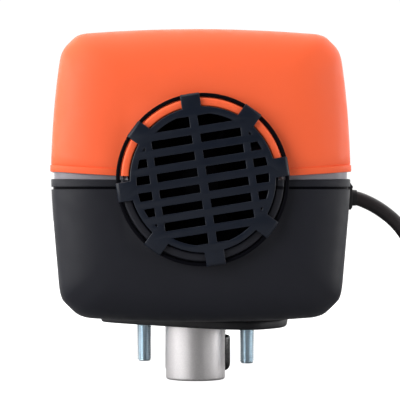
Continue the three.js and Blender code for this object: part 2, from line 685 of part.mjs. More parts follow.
function overheatSensor() {
  const { y, radius, seat, top } = SENSOR;
  return join(rodZ(radius, AXIS_Z + seat + FIT, AXIS_Z + top - 1.4, 0, y, 16),
    box(-4, 4, y - 3.5, y + 3.5, AXIS_Z + top - 2.4, AXIS_Z + top));
}

// A steel strip over the sensor, hooked down both sides of its seat.
function sensorClip() {
  const { y, seat, seatHalf, top } = SENSOR;
  const outside = seatHalf + 0.3;
  const clipTop = top + 1.1;
  const band = (x0, x1, z0) => box(x0, x1, y - 2.5, y + 2.5, AXIS_Z + z0, AXIS_Z + clipTop);
  return join(band(-outside, outside, top + FIT), band(-outside, -outside + 0.9, seat - 3),
    band(outside - 0.9, outside, seat - 3));
}

// ---- Control unit ----

function controlCase() {
  const { halfWidth, frontY, rearY, bottom, top, wall } = CONTROL;
  const outside = box(-halfWidth, halfWidth, frontY, rearY, bottom, top);
  const inside = box(-halfWidth + wall, halfWidth - wall, frontY + wall, rearY - wall,
    bottom + wall, top + 1);
  const post = (x) => rodZ(3.4, bottom + 1, top, x, CONTROL_MID_Y, 10)
    .subtract(rodZ(LID_SCREW.hole, bottom + 6, top + 1, x, CONTROL_MID_Y, 8));
  return join(outside.subtract(inside), post(-CONTROL.screwX), post(CONTROL.screwX));
}

function controlLid() {
  const { halfWidth, frontY, rearY, top, lid, screwX } = CONTROL;
  const plate = box(-halfWidth, halfWidth, frontY, rearY, top + FIT, top + FIT + lid);
  const hole = (x) => rodZ(LID_SCREW.hole, top - 1, top + lid + 1, x, CONTROL_MID_Y, 8);
  return cut(plate, hole(-screwX), hole(screwX));
}

function controlBoard() {
  const { boardHalfWidth, boardBottom, frontY, rearY } = CONTROL;
  return box(-boardHalfWidth, boardHalfWidth, frontY + 3, rearY - 3, boardBottom, boardBottom + 1.6);
}

function lidScrew(x) {
  const { bottom, top, lid } = CONTROL;
  const seat = top + lid + 2 * FIT;
  return join(rodZ(LID_SCREW.headRadius, seat, seat + 1.6, x, CONTROL_MID_Y, 10),
    rodZ(LID_SCREW.radius, bottom + 8, seat + 0.4, x, CONTROL_MID_Y, 8));
}

// The block between the motor's back and the control unit.
const motorSaddle = () =>
  box(-SADDLE.halfWidth, SADDLE.halfWidth, SADDLE.frontY, SADDLE.rearY, AXIS_Z + 17, CONTROL.bottom - FIT)
    .subtract(rodY(MOTOR.radius + FIT, SADDLE.frontY - 8, SADDLE.rearY + 12, 0, AXIS_Z, 24));

const controlPlug = () =>
  box(CONTROL.halfWidth + FIT, CONTROL.halfWidth + 8, EXIT.y, EXIT.y + 16, 90, 100);

// ---- Harness ----

// A rubber plate over the hole, its spigot in the hole and the sleeve round the cord.
function grommet() {
  const { halfLength, bottom, top, faceX, sleeveEndX, rim } = GROMMET;
  const wall = CASING.halfWidth + 0.1;
  const inside = CASING.halfWidth - 5.6;
  const slab = (x0, x1, inset) =>
    box(x0, x1, EXIT.y - halfLength + inset, EXIT.y + halfLength - inset, bottom + inset, top - inset);
  const sleeve = rodX(CORD.radius + 0.5, faceX - 0.5, sleeveEndX, EXIT.y, EXIT.z, 16);
  const bore = rodX(CORD.radius + 0.2, inside - 1, sleeveEndX + 1, EXIT.y, EXIT.z, 12);
  return join(slab(wall, faceX, 0), slab(inside, wall + 0.1, rim), sleeve).subtract(bore);
}

// Fills the same hole on the side that has no harness, flush with the shell.
function blindPlug() {
  const { halfLength, bottom, top, rim } = GROMMET;
  const outside = CASING.halfWidth - 0.6;
  return box(-outside, -CASING.halfWidth + 5.6, EXIT.y - halfLength + rim, EXIT.y + halfLength - rim,
    bottom + rim, top - rim);
}

// Inside the casing: from the control unit to the motor, glow plug, sensor and grommet.
const INNER_LEAD = { radius: 1.1, harnessRadius: 2.5 };
const MOTOR_LEAD = [[13.5, -69, 87.6], [13.2, -69, 84], [12, -69, 79.8]];
const GLOW_LEAD = [[-6, -39.2, 104.6], [-6, -36, 106.8], [-5, -16, 111.5], [-2, 0, 111.5], [0, 5.7, 110.7]];
const SENSOR_LEAD = [
  [8, -39.2, 104.6], [8, -36, 106.8], [9, -10, 112], [9, 30, 112], [8, 52, 110.5], [5.5, 60, 106.5],
];
const HARNESS_INNER = [
  [52.6, EXIT.y, EXIT.z], [48.5, -62, 55.5], [47, -61, 62], [48, -60, 76], [51, -56, 88],
  [49, -54, 94.4], [44.8, -54, 95],
];

// The free lead: out of the grommet, over and down to the coil.
const LEAD_ROUTE = [
  [64.4, -62, 53.6], [67.2, -62, 52.4], [70.2, -62, 51.1], [75.2, -62, 48], [80.4, -62, 43.6],
  [84.8, -62, 37.6], [88.4, -62, 29.5], [91.2, -62, 20.5], [93.8, -62, 11.5], [96.6, -62, 3],
  [100, -62, -4.6], [104.2, -62, -9.8], [109, -62, -12.4],
];

const harnessCoil = () =>
  turnedUp([[COIL.inner, COIL.bottom], [COIL.outer, COIL.bottom],
    [COIL.outer, COIL.bottom + COIL.height], [COIL.inner, COIL.bottom + COIL.height],
    [COIL.inner, COIL.bottom]], COIL.x, COIL.y, 28);

// From the coil's outer turn to the connector.
const harnessTail = () =>
  lead([[CONNECTOR.x, -12.6, COIL.bottom + COIL.height / 2], [CONNECTOR.x, -7, -18.4],
    [CONNECTOR.x, CONNECTOR.y0 - 5.2, CORD.floor + CONNECTOR.height / 2 - 1]], CORD.radius, 3);

// A strap round the turns of the coil, on the side towards the intake.
function coilTie() {
  const { x, y, inner, outer, bottom, height } = COIL;
  const across = (grow, up, halfLength) =>
    box(x + inner - grow, x + outer + grow, y - halfLength, y + halfLength, bottom - up, bottom + height + up);
  const strap = across(1.1, 0.7, 2.5).subtract(across(0.5, 0.1, 9));
  return strap.translate([-x, -y, 0]).rotate([0, 0, -50]).translate([x, y, 0]);
}

// A multi-pole socket: a box with an open mouth, a latch rib and the cord's collar.
function harnessConnector() {
  const { x, y0, y1, halfWidth, height } = CONNECTOR;
  const floor = CORD.floor;
  const body = box(x - halfWidth, x + halfWidth, y0, y1, floor, floor + height);
  const mouth = box(x - halfWidth + 1.8, x + halfWidth - 1.8, y1 - 12, y1 + 1,
    floor + 1.8, floor + height - 1.8);
  const latch = box(x - 3.5, x + 3.5, y0 + 6, y1 - 4, floor + height - 0.5, floor + height + 2);
  const collar = rodY(5, y0 - 4, y0 + 1, x, floor + height / 2 - 1, 16);
  return cut(join(body, latch, collar), mouth);
}

// ---- The heater ----

const heater = new THREE.Group();
const add = (name, shape, material) => heater.add(named(name, shape, material));

const whole = casingWhole();
add('upper_shell', upperShell(whole), orangePlastic);
add('lower_shell', lowerShell(whole), blackPlastic);
add('intake_grille', intakeGrille(), darkPlastic);
add('outlet_hood', outletHood(), darkPlastic);
add('harness_grommet', grommet(), rubber);
add('blind_plug', blindPlug(), rubber);

add('mounting_flange', mountingFlange(), castAluminium);
add('flange_gasket', flangeGasket(), rubber);
add('intake_stub', stub(INTAKE_STUB, STUB.intakeY), castAluminium);
add('exhaust_stub', stub(EXHAUST_STUB, STUB.exhaustY), castAluminium);
for (const [name, place] of Object.entries(STUD_PLACES)) add(name, stud(place), zincSteel);
add('fuel_pipe', fuelPipe(), steel);
add('fuel_pipe_cap', fuelPipeCap(), rubber);

add('hot_air_fan', hotAirFan(), darkPlastic);
add('motor_shaft', motorShaft(), steel);
add('armature', armature(), steel);
add('magnet_left', magnet(-1), darkPlastic);
add('magnet_right', magnet(1), darkPlastic);
add('motor_can', motorCan(), zincSteel);
add('motor_end_cap', motorEndCap(), blackPlastic);
add('bearing_front', bearing(BEARING.frontRadius, MOTOR.capFrontY + 0.2, MOTOR.frontY - FIT), steel);
add('bearing_rear', bearing(BEARING.rearRadius, BLOWER.frontY, BLOWER.frontY + BLOWER.wall), steel);

add('blower_housing', blowerHousing(), castAluminium);
add('combustion_fan', combustionFan(), darkPlastic);
add('blower_cover', blowerCover(), castAluminium);
add('chamber_gasket', chamberGasket(), gasketFibre);
['lower_right', 'lower_left', 'upper_left', 'upper_right'].forEach((place, i) =>
  add(`chamber_screw_${place}`, chamberScrew(Math.PI / 4 + (i * Math.PI) / 2), zincSteel));

add('burner_tube', burnerTube(), steel);
add('flame_screen', flameScreen(), steel);
add('heat_exchanger', heatExchanger(), castAluminium);
add('glow_plug', glowPlug(), steel);
add('overheat_sensor', overheatSensor(), blackPlastic);
add('sensor_clip', sensorClip(), zincSteel);

add('control_case', controlCase(), blackPlastic);
add('control_board', controlBoard(), boardGreen);
add('control_lid', controlLid(), blackPlastic);
add('lid_screw_left', lidScrew(-CONTROL.screwX), zincSteel);
add('lid_screw_right', lidScrew(CONTROL.screwX), zincSteel);
add('motor_saddle', motorSaddle(), blackPlastic);
add('control_plug', controlPlug(), blackPlastic);
add('motor_lead', lead(MOTOR_LEAD, INNER_LEAD.radius, 3, 6), cordSheath);
add('glow_lead', lead(GLOW_LEAD, INNER_LEAD.radius, 10, 6), cordSheath);
add('sensor_lead', lead(SENSOR_LEAD, INNER_LEAD.radius, 12, 6), cordSheath);
add('harness_inner', lead(HARNESS_INNER, INNER_LEAD.harnessRadius, 12), cordSheath);

add('harness_lead', lead(LEAD_ROUTE, CORD.radius, 14), cordSheath);
add('harness_coil', harnessCoil(), cordSheath);
add('harness_tail', harnessTail(), cordSheath);
add('coil_tie', coilTie(), rubber);
add('harness_connector', harnessConnector(), darkPlastic);

export default heater;
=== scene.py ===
"""The looks of a fuel-burning cabin air heater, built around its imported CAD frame.

Lengths are in millimetres and each mesh is scaled to metres as it is made. +Z is up, the air
flows along +Y from the intake grille to the outlet hood, and the harness leaves on the +X side.
"""

import json
import math

import bmesh
import bpy
from mathutils import Matrix, Vector


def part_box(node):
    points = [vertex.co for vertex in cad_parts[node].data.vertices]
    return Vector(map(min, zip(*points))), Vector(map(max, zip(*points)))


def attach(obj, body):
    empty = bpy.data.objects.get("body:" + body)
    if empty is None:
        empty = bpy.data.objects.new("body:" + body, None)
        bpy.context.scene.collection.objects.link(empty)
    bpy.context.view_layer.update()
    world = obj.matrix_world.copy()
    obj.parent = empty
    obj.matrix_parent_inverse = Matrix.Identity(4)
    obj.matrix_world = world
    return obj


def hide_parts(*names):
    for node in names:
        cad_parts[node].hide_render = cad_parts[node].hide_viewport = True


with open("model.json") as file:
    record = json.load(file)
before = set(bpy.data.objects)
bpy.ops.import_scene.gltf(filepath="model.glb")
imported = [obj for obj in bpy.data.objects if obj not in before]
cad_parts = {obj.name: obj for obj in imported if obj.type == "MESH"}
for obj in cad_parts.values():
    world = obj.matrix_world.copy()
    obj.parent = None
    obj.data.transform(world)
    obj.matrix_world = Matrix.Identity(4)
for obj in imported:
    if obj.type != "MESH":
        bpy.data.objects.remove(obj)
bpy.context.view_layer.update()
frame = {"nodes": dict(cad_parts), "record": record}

MM = 0.001
SLOT_OF = {part["node"]: part["material_slot"] for part in frame["record"]["subparts"]}
BODIES = frame["record"]["behaviour"]["bodies"]
BODY_OF = {node: body for body, nodes in BODIES.items() for node in nodes}


def box_mm(node):
    """A CAD node's box in millimetres."""
    low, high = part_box(node)
    return low / MM, high / MM


# ---- Driving dimensions ----

SHELL_LOW, SHELL_HIGH = box_mm("upper_shell")
GRILLE_LOW, GRILLE_HIGH = box_mm("intake_grille")
AXIS_Z = (GRILLE_LOW.z + GRILLE_HIGH.z) / 2
HALF_WIDTH = SHELL_HIGH.x
TOP = SHELL_HIGH.z
BOTTOM = box_mm("lower_shell")[0].z
MID_Z = (TOP + BOTTOM) / 2
HALF_HEIGHT = (TOP - BOTTOM) / 2
WALL = 2.8
FRONT_Y = -99.0
REAR_Y = SHELL_HIGH.y
FRONT_ROLL = {"end": FRONT_Y, "depth": 15, "reach": 26, "outward": -1}
REAR_ROLL = {"end": REAR_Y, "depth": 14, "reach": 20, "outward": 1}
ROLL_POWER = 2.7
COLLAR = {"inner": 28.1, "outer": 30.4, "front": SHELL_LOW.y, "round": 0.7}
BEAD = {"radius": 31.2, "round": 1.0, "length": 2.2, "slope": 0.9}  # round the collar's rim
HOOD_HOLE = 33.9
SEAM = {"side": 64.9, "middle": 61.4}  # the upper shell's edge
LIP = {"height": 2.6, "proud": 0.3, "depth": 1.1, "rebate_top": 66.2}
RIM = {"side": 61.3, "middle": 60.5}  # the lower shell's edge, at the foot of its tongue
TONGUE = {"top": 66.0, "inset": 1.2, "root": 63, "foot": 61.35}
GROOVE = {"top": 58.1, "bottom": 57.0, "depth": 0.7}
GRILLE_TILT = math.radians(9)
GRILLE = {"radius": 27.8, "field": 25.2, "thickness": 2.3, "rim_thickness": 1.5}
GRILLE_BARS = {"middle_width": 3.3, "side_from": 17.1, "side_to": 20.0}
GRILLE_ROWS = {"pitch": 6.28, "slot_height": 3.2, "end_gap": 1.5}
TAB = {"count": 8, "half_width": 3.7, "reach": 31.5, "outer": 33.1, "leg_inner": 31.4, "leg_end": -101.6}
GRILLE_RING = {"inner": 31.7, "outer": 33.1, "front": -103.6}
FLOOR_Z = box_mm("intake_stub")[0].z
FLANGE_CORNERS = [(-40, -7), (8, -54), (24, -58), (37, -43), (40.5, -8)]  # half of them
FLANGE_HOLE = {"margin": 0.8, "depth": 28}  # in the lower shell's floor
FIT = 0.3  # clearance between pieces that touch
STUDS = ("stud_front_left", "stud_front_right", "stud_rear_left", "stud_rear_right")
THREAD = {"pitch": 1.0, "depth": 0.62, "proud": 0.1, "end": 3.4}
ON_SIDE = Matrix.Rotation(math.pi / 2, 4, "X")  # stands a flat outline up, facing the intake


# ---- Mesh tools ----

def solid_from(points, faces):
    """A bmesh in millimetres with its normals facing out."""
    bm = bmesh.new()
    verts = [bm.verts.new(p) for p in points]
    for face in faces:
        if len(set(face)) > 2:
            bm.faces.new([verts[i] for i in face])
    bmesh.ops.remove_doubles(bm, verts=bm.verts, dist=1e-5)
    bmesh.ops.dissolve_degenerate(bm, dist=1e-5, edges=bm.edges)
    bmesh.ops.recalc_face_normals(bm, faces=bm.faces)
    return bm


def lathe(profile, sides=96, axis="Y", centre=(0, 0, 0)):
    """A closed profile of (radius, height) points turned about an axis through the centre."""
    points, faces = [], []
    count = len(profile)
    for i in range(sides):
        angle = 2 * math.pi * i / sides
        for radius, height in profile:
            a, b = radius * math.cos(angle), radius * math.sin(angle)
            point = (a, height, b) if axis == "Y" else (a, b, height)
            points.append(Vector(point) + Vector(centre))
        for j in range(count):
            k, after = (j + 1) % count, (i + 1) % sides
            faces.append((i * count + j, i * count + k, after * count + k, after * count + j))
    return solid_from(points, faces)


def fillet(corner, before, after, radius, steps=4):
    """Points of a quarter round where the profile turns at a corner."""
    corner, before, after = Vector(corner), Vector(before), Vector(after)
    start = corner + (before - corner).normalized() * radius
    end = corner + (after - corner).normalized() * radius
    points = []
    for i in range(steps + 1):
        t = i / steps
        points.append(start.lerp(corner, t).lerp(corner.lerp(end, t), t)[:])
    return points


def rounded(profile, radii, steps=4):
    """A closed profile with a fillet of its own radius at each corner, 0 for a sharp one."""
    points = []
    for i, (corner, radius) in enumerate(zip(profile, radii)):
        before, after = profile[i - 1], profile[(i + 1) % len(profile)]
        points += fillet(corner, before, after, radius, steps) if radius else [corner]
    return points


def evaluated_mesh(obj):
    """A new mesh of what a curve or a modified object comes to."""
    bpy.context.view_layer.update()
    return bpy.data.meshes.new_from_object(obj.evaluated_get(bpy.context.evaluated_depsgraph_get()))


def plate(outlines, thickness, edge, place):
    """A flat plate with rounded edges. The first outline is its rim, the others are its holes."""
    curve = bpy.data.curves.new("outline", "CURVE")
    curve.dimensions = "2D"
    curve.fill_mode = "BOTH"
    for shape in outlines:
        spline = curve.splines.new("POLY")
        spline.points.add(len(shape) - 1)
        for point, (u, v) in zip(spline.points, shape):
            point.co = (u, v, 0, 1)
        spline.use_cyclic_u = True
    curve.extrude = thickness / 2 - edge
    curve.bevel_depth = edge
    curve.bevel_resolution = 2
    curve.offset = -edge
    holder = bpy.data.objects.new("outline", curve)
    bpy.context.scene.collection.objects.link(holder)
    made = evaluated_mesh(holder)
    bm = bmesh.new()
    bm.from_mesh(made)
    bpy.data.objects.remove(holder)
    bpy.data.curves.remove(curve)
    bpy.data.meshes.remove(made)
    bmesh.ops.remove_doubles(bm, verts=bm.verts, dist=1e-4)
    bmesh.ops.recalc_face_normals(bm, faces=bm.faces)
    bm.transform(place)
    return bm


def block(low, high, edge=0.4, segments=2):
    """A box with rounded edges."""
    low, high = Vector(low), Vector(high)
    bm = bmesh.new()
    bmesh.ops.create_cube(bm, size=1)
    for vert in bm.verts:
        vert.co = [(a + b) / 2 + c * (b - a) for a, b, c in zip(low, high, vert.co)]
    if edge:
        bmesh.ops.bevel(bm, geom=bm.edges[:], offset=edge, segments=segments, profile=0.5,
                        affect="EDGES")
    return bm


def turned_about_axis(bm, angle):
    """Turned about the fan axis, counter-clockwise as seen from the intake."""
    centre = Matrix.Translation((0, 0, AXIS_Z))
    bm.transform(centre @ Matrix.Rotation(-angle, 4, "Y") @ centre.inverted())
    return bm


def shaded(obj, angle=35):
    """Smooth shading with sharp edges where faces meet at more than an angle."""
    mesh = obj.data
    mesh.polygons.foreach_set("use_smooth", [True] * len(mesh.polygons))
    mesh.set_sharp_from_angle(angle=math.radians(angle))


def piece(name, parts, node, material, angle=35):
    """Joins bmeshes into one object that stands for a CAD node and rides on its body."""
    whole = bmesh.new()
    for part in parts:
        mesh = bpy.data.meshes.new("part")
        part.to_mesh(mesh)
        whole.from_mesh(mesh)
        bpy.data.meshes.remove(mesh)
        part.free()
    whole.transform(Matrix.Scale(MM, 4))
    mesh = bpy.data.meshes.new(name)
    whole.to_mesh(mesh)
    whole.free()
    obj = bpy.data.objects.new(name, mesh)
    bpy.context.scene.collection.objects.link(obj)
    mesh.materials.append(material)
    shaded(obj, angle)
    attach(obj, BODY_OF[node])
    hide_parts(node)
    return obj


def applied(obj, modifier):
    """Gives the object its own mesh as its one modifier leaves it."""
    made = evaluated_mesh(obj)
    obj.modifiers.remove(modifier)
    old = obj.data
    made.name = old.name
    obj.data = made
    bpy.data.meshes.remove(old)


def cut_out(obj, cutter):
    """Cuts a bmesh in millimetres out of an object."""
    mesh = bpy.data.meshes.new("cutter")
    cutter.transform(Matrix.Scale(MM, 4))
    cutter.to_mesh(mesh)
    cutter.free()
    tool = bpy.data.objects.new("cutter", mesh)
    bpy.context.scene.collection.objects.link(tool)
    modifier = obj.modifiers.new("cut", "BOOLEAN")
    modifier.operation = "DIFFERENCE"
    modifier.solver = "EXACT"
    modifier.object = tool
    applied(obj, modifier)
    bpy.data.objects.remove(tool)
    bpy.data.meshes.remove(mesh)
    shaded(obj)


# ---- Materials ----

def surface(name, color, roughness, metallic=0.0, specular=0.5, mottle=0.06, mottle_scale=70.0,
            uneven=0.06, grain_scale=1400.0, grain=0.12, grain_depth=0.00006):
    """A finish with mottled colour, uneven gloss and a fine grain, all sized in the row frame."""
    material = bpy.data.materials.new(name)
    material.use_nodes = True
    nodes, links = material.node_tree.nodes, material.node_tree.links
    shader = nodes["Principled BSDF"]
    shader.inputs["Metallic"].default_value = metallic
    shader.inputs["Specular IOR Level"].default_value = specular
    place = nodes.new("ShaderNodeTexCoord").outputs["Object"]

    def noise(scale, detail):
        node = nodes.new("ShaderNodeTexNoise")
        node.inputs["Scale"].default_value = scale
        node.inputs["Detail"].default_value = detail
        links.new(place, node.inputs["Vector"])
        return node.outputs["Fac"]

    mix = nodes.new("ShaderNodeMix")
    mix.data_type = "RGBA"
    links.new(noise(mottle_scale, 4.0), mix.inputs["Factor"])
    mix.inputs["A"].default_value = [*(c * (1 - mottle) for c in color), 1]
    mix.inputs["B"].default_value = [*(min(1.0, c * (1 + mottle)) for c in color), 1]
    links.new(mix.outputs["Result"], shader.inputs["Base Color"])

    spread = nodes.new("ShaderNodeMapRange")
    links.new(noise(mottle_scale * 3, 3.0), spread.inputs["Value"])
    spread.inputs["From Min"].default_value = 0.3
    spread.inputs["From Max"].default_value = 0.7
    spread.inputs["To Min"].default_value = roughness - uneven
    spread.inputs["To Max"].default_value = roughness + uneven
    links.new(spread.outputs["Result"], shader.inputs["Roughness"])

    bump = nodes.new("ShaderNodeBump")
    bump.inputs["Strength"].default_value = grain
    bump.inputs["Distance"].default_value = grain_depth
    links.new(noise(grain_scale, 2.0), bump.inputs["Height"])
    links.new(bump.outputs["Normal"], shader.inputs["Normal"])
    return material


ORANGE = surface("orange_plastic", (0.86, 0.115, 0.034), 0.5, specular=0.3, mottle=0.02, grain=0.1)
BLACK = surface("black_plastic", (0.006, 0.0065, 0.011), 0.5, specular=0.24, mottle=0.12, grain=0.16)
# Painted highlight: the seam's tongue is the lower shell's black plastic, made paler for the light it
# catches.
TONGUE_PAINTED_HIGHLIGHT = surface("tongue_painted_highlight", (0.2, 0.19, 0.215), 0.4, specular=0.4, mottle=0.15, grain=0.16)
GRILLE_BLACK = surface("grille_plastic", (0.0045, 0.007, 0.014), 0.33, specular=0.25, mottle=0.1,
                       uneven=0.04, grain=0.1)
# Painted shade: near-black for the grille's ring and the lower shell's groove, the same plastic as their
# neighbours darkened for the shade they sit in.
PAINTED_SHADE_BLACK = surface("painted_shade_plastic", (0.0015, 0.0015, 0.003), 0.5, specular=0.04, mottle=0.1, grain=0.12)
# Painted shade: the fan behind the grille is made darker than its plastic for the shade it sits in.
FAN_PAINTED_SHADE = surface("fan_painted_shade", (0.0015, 0.0015, 0.003), 0.55, specular=0.04, mottle=0.1)
DARK_PLASTIC = surface("dark_plastic", (0.006, 0.006, 0.007), 0.5, specular=0.25, mottle=0.1)
RUBBER = surface("rubber", (0.009, 0.009, 0.011), 0.6, specular=0.25, mottle=0.15, grain=0.3)
CAP_RUBBER = surface("cap_rubber", (0.004, 0.004, 0.005), 0.26, specular=0.45, mottle=0.15, uneven=0.04)
SHEATH = surface("cord_sheath", (0.016, 0.0125, 0.014), 0.5, specular=0.3, mottle=0.25,
                 mottle_scale=160, grain=0.4)
CAST = surface("cast_aluminium", (0.62, 0.6, 0.605), 0.5, metallic=0.9, mottle=0.14,
               mottle_scale=1900, grain_scale=2600, grain=0.5, grain_depth=0.00012)
ZINC = surface("zinc_steel", (0.5, 0.62, 0.7), 0.2, metallic=1.0, mottle=0.03, uneven=0.02, grain=0.0)
STEEL = surface("bare_steel", (0.5, 0.49, 0.48), 0.35, metallic=1.0, mottle=0.08, mottle_scale=200)
FERRITE = surface("ferrite", (0.05, 0.05, 0.055), 0.7, metallic=0.2, mottle=0.15)
SHEET_FIBRE = surface("gasket_sheet", (0.1, 0.09, 0.08), 0.85, mottle=0.3, mottle_scale=500, grain=0.5)
BOARD = surface("circuit_board", (0.02, 0.11, 0.045), 0.35, mottle=0.15, mottle_scale=300)
SLOT_LOOK = {
    "orange_plastic": ORANGE, "black_plastic": BLACK, "grille_plastic": GRILLE_BLACK,
    "housing_plastic": DARK_PLASTIC, "rubber": RUBBER, "cord_sheath": SHEATH, "cast_aluminium": CAST,
    "zinc_steel": ZINC, "bare_steel": STEEL, "ferrite": FERRITE, "gasket_sheet": SHEET_FIBRE,
    "circuit_board": BOARD,
}


def dress_frame():
    """Every CAD node that stays takes its slot's finish; the fan's is painted shade, darker than its
    slot's, for the shade behind the grille.
    """
    for name, node in frame["nodes"].items():
        finish = FAN_PAINTED_SHADE if name == "hot_air_fan" else SLOT_LOOK[SLOT_OF[name]]
        node.data.materials.clear()
        node.data.materials.append(finish)
        shaded(node, 30)


# ---- Casing ----

def bezier(controls, steps):
    """Points along a Bezier curve of any degree, without its first point."""
    points = []
    for i in range(1, steps + 1):
        between, t = [Vector(c) for c in controls], i / steps
        while len(between) > 1:
            between = [a.lerp(b, t) for a, b in zip(between, between[1:])]
        points.append(between[0])
    return points


def half_section():
    """The casing's right half in x and z, from the middle of its floor to the middle of its crown."""
    path = [Vector((0, BOTTOM))]

    def on(steps, *controls):
        path.extend(bezier([path[-1], *controls], steps))

    on(9, (24, BOTTOM), (42, BOTTOM + 1.4))  # the floor
    on(6, (46.9, BOTTOM + 1.7), (49.4, BOTTOM + 3.9))  # the lower edge: a bend,
    on(2, (53.5, BOTTOM + 7.9))  # a flat
    on(6, (55.0, BOTTOM + 9.6), (55.5, BOTTOM + 15))  # and a second bend
    on(12, (56.6, 34), (58.3, 50), (HALF_WIDTH, MID_Z))  # the side, up to where it is widest
    on(12, (58.5, 76), (57.2, 94), (55.2, TOP - 13))  # and above that
    on(6, (54.7, TOP - 9.0), (52.5, TOP - 6.6))  # the upper edge, bent twice like the lower one
    on(2, (49.6, TOP - 3.7))
    on(6, (47.7, TOP - 1.9), (43.0, TOP - 1.7))
    on(9, (20, TOP), (0, TOP))  # the crown
    return path


def stations(end, depth, reach, outward, steps=14):
    """Where each section of a rolled end lies and how far it is drawn in, up to the end wall."""
    found = []
    for i in range(steps + 1):
        angle = math.pi / 2 * i / steps
        along = math.sin(angle) ** (2 / ROLL_POWER)
        across = math.cos(angle) ** (2 / ROLL_POWER)
        found.append((end - outward * depth * (1 - along), reach * (1 - across), outward))
    return found


SECTION = half_section()
STATIONS = stations(**FRONT_ROLL)[::-1] + stations(**REAR_ROLL)


def outline(station, inset, upward):
    """The right half of a section, drawn in, and running away from the seam."""
    y, drawn_in, outward = station
    across = 1 - (drawn_in + inset) / HALF_WIDTH
    up = 1 - (drawn_in + inset) / HALF_HEIGHT
    path = [Vector((p.x * across, y - outward * inset, MID_Z + (p.y - MID_Z) * up)) for p in SECTION]
    return path if upward else path[::-1]


def at(path, place):
    """The point at a fractional index along a path."""
    i = min(int(place), len(path) - 2)
    return path[i].lerp(path[i + 1], place - i)


def crossing(path, height_at, upward):
    """Where a path first passes a height, which may bow with x."""
    sign = 1 if upward else -1
    gaps = [sign * (p.z - height_at(p.x)) for p in path]
    for i in range(len(path) - 1):
        if gaps[i] < 0 <= gaps[i + 1]:
            return i + gaps[i] / (gaps[i] - gaps[i + 1])
    return 0.0


def bowed(side, middle):
    """A split line that is at one height at the sides and dips or rises towards the middle."""
    return lambda x: middle + (side - middle) * (x / (HALF_WIDTH + 10)) ** 2


def level(z):
    """A split line that stays at one height."""
    return lambda x: z


def skin_arc(station, edge_lines, upward, samples):
    """Points from the seam to the casing's middle: the seam's edge lines, then even samples."""
    points, path, place = [], [], 0
    for height_at, inset in edge_lines:
        path = outline(station, inset, upward)
        place = crossing(path, height_at, upward)
        points.append(at(path, place))
    last = len(path) - 1
    for i in range(1, samples + 1):
        points.append(at(path, place + (last - place) * i / samples))
    return points


def ring_arc(radius, y, guide, start_z):
    """The same points on a circle about the fan axis, each in its guide point's direction."""
    points = []
    first = math.asin((start_z - AXIS_Z) / radius)
    for p in guide:
        angle = math.atan2(p.z - AXIS_Z, p.x)
        if abs(angle) < abs(first) or (start_z < AXIS_Z) != (angle < 0):
            angle = first
        points.append(Vector((radius * math.cos(angle), y, AXIS_Z + radius * math.sin(angle))))
    return points


def collar_profile():
    """The collar from its inside round its beaded rim to the casing's end wall."""
    front, inner, outer = COLLAR["front"], COLLAR["inner"], COLLAR["outer"]
    bead, bead_end = BEAD["radius"], front + BEAD["length"]
    return ([(inner, FRONT_Y + WALL)]
            + fillet((inner, front), (inner, 0), (outer, front), COLLAR["round"])
            + fillet((bead, front), (inner, front), (bead, 0), BEAD["round"])
            + [(bead, bead_end), (outer, bead_end + BEAD["slope"])]
            + [(outer, FRONT_Y - 0.5), (outer + 0.15, FRONT_Y - 0.15), (outer + 0.5, FRONT_Y)])


def half_shell(outer_lines, inner_lines, upward, collar_z, samples=30):
    """One half of the casing as a closed skin: collar, outside, rear hole, inside and seam."""
    guide = skin_arc(STATIONS[0], outer_lines, upward, samples)
    rear_guide = skin_arc(STATIONS[-1], outer_lines, upward, samples)
    rows = [ring_arc(radius, y, guide, collar_z) for radius, y in collar_profile()]
    rows += [skin_arc(s, outer_lines, upward, samples) for s in STATIONS]
    seam_z = rear_guide[0].z if upward else collar_z
    rows.append(ring_arc(HOOD_HOLE, REAR_Y, rear_guide, seam_z))
    rows.append(ring_arc(HOOD_HOLE, REAR_Y - WALL, rear_guide, seam_z))
    rows += [skin_arc(s, inner_lines, upward, samples) for s in STATIONS[::-1]]
    full = []
    for row in rows:
        mirrored = [Vector((-p.x, p.y, p.z)) for p in row[-2::-1]]
        full.append(row + mirrored)
    across = len(full[0])
    points = [p for row in full for p in row]
    faces = []
    for i in range(len(full)):
        here, after = i * across, (i + 1) % len(full) * across
        for k in range(across - 1):
            faces.append((here + k, here + k + 1, after + k + 1, after + k))
    faces.append([i * across for i in range(len(full))])
    faces.append([i * across + across - 1 for i in range(len(full))])
    return solid_from(points, faces)


def upper_shell():
    """The orange half, with a raised lip along its edge and a rebate for the tongue inside it."""
    seam = bowed(SEAM["side"], SEAM["middle"])
    proud, lip, rebate, depth = -LIP["proud"], LIP["height"], LIP["rebate_top"], LIP["depth"]

    def above(extra):
        return lambda x: seam(x) + extra

    outer = [(above(0), proud + 0.4), (above(0.1), proud + 0.12), (above(0.4), proud),
             (above(lip - 0.1), proud), (above(lip + 0.1), 0.15), (above(lip + 0.4), 0)]
    inner = [(above(0), depth), (above(0.3), depth), (above(0.6), depth),
             (level(rebate), depth), (level(rebate + 0.1), WALL), (level(rebate + 2.2), WALL)]
    bm = half_shell(outer, inner, True, AXIS_Z + 0.3)
    return piece("upper_shell_skin", [bm], "upper_shell", ORANGE)


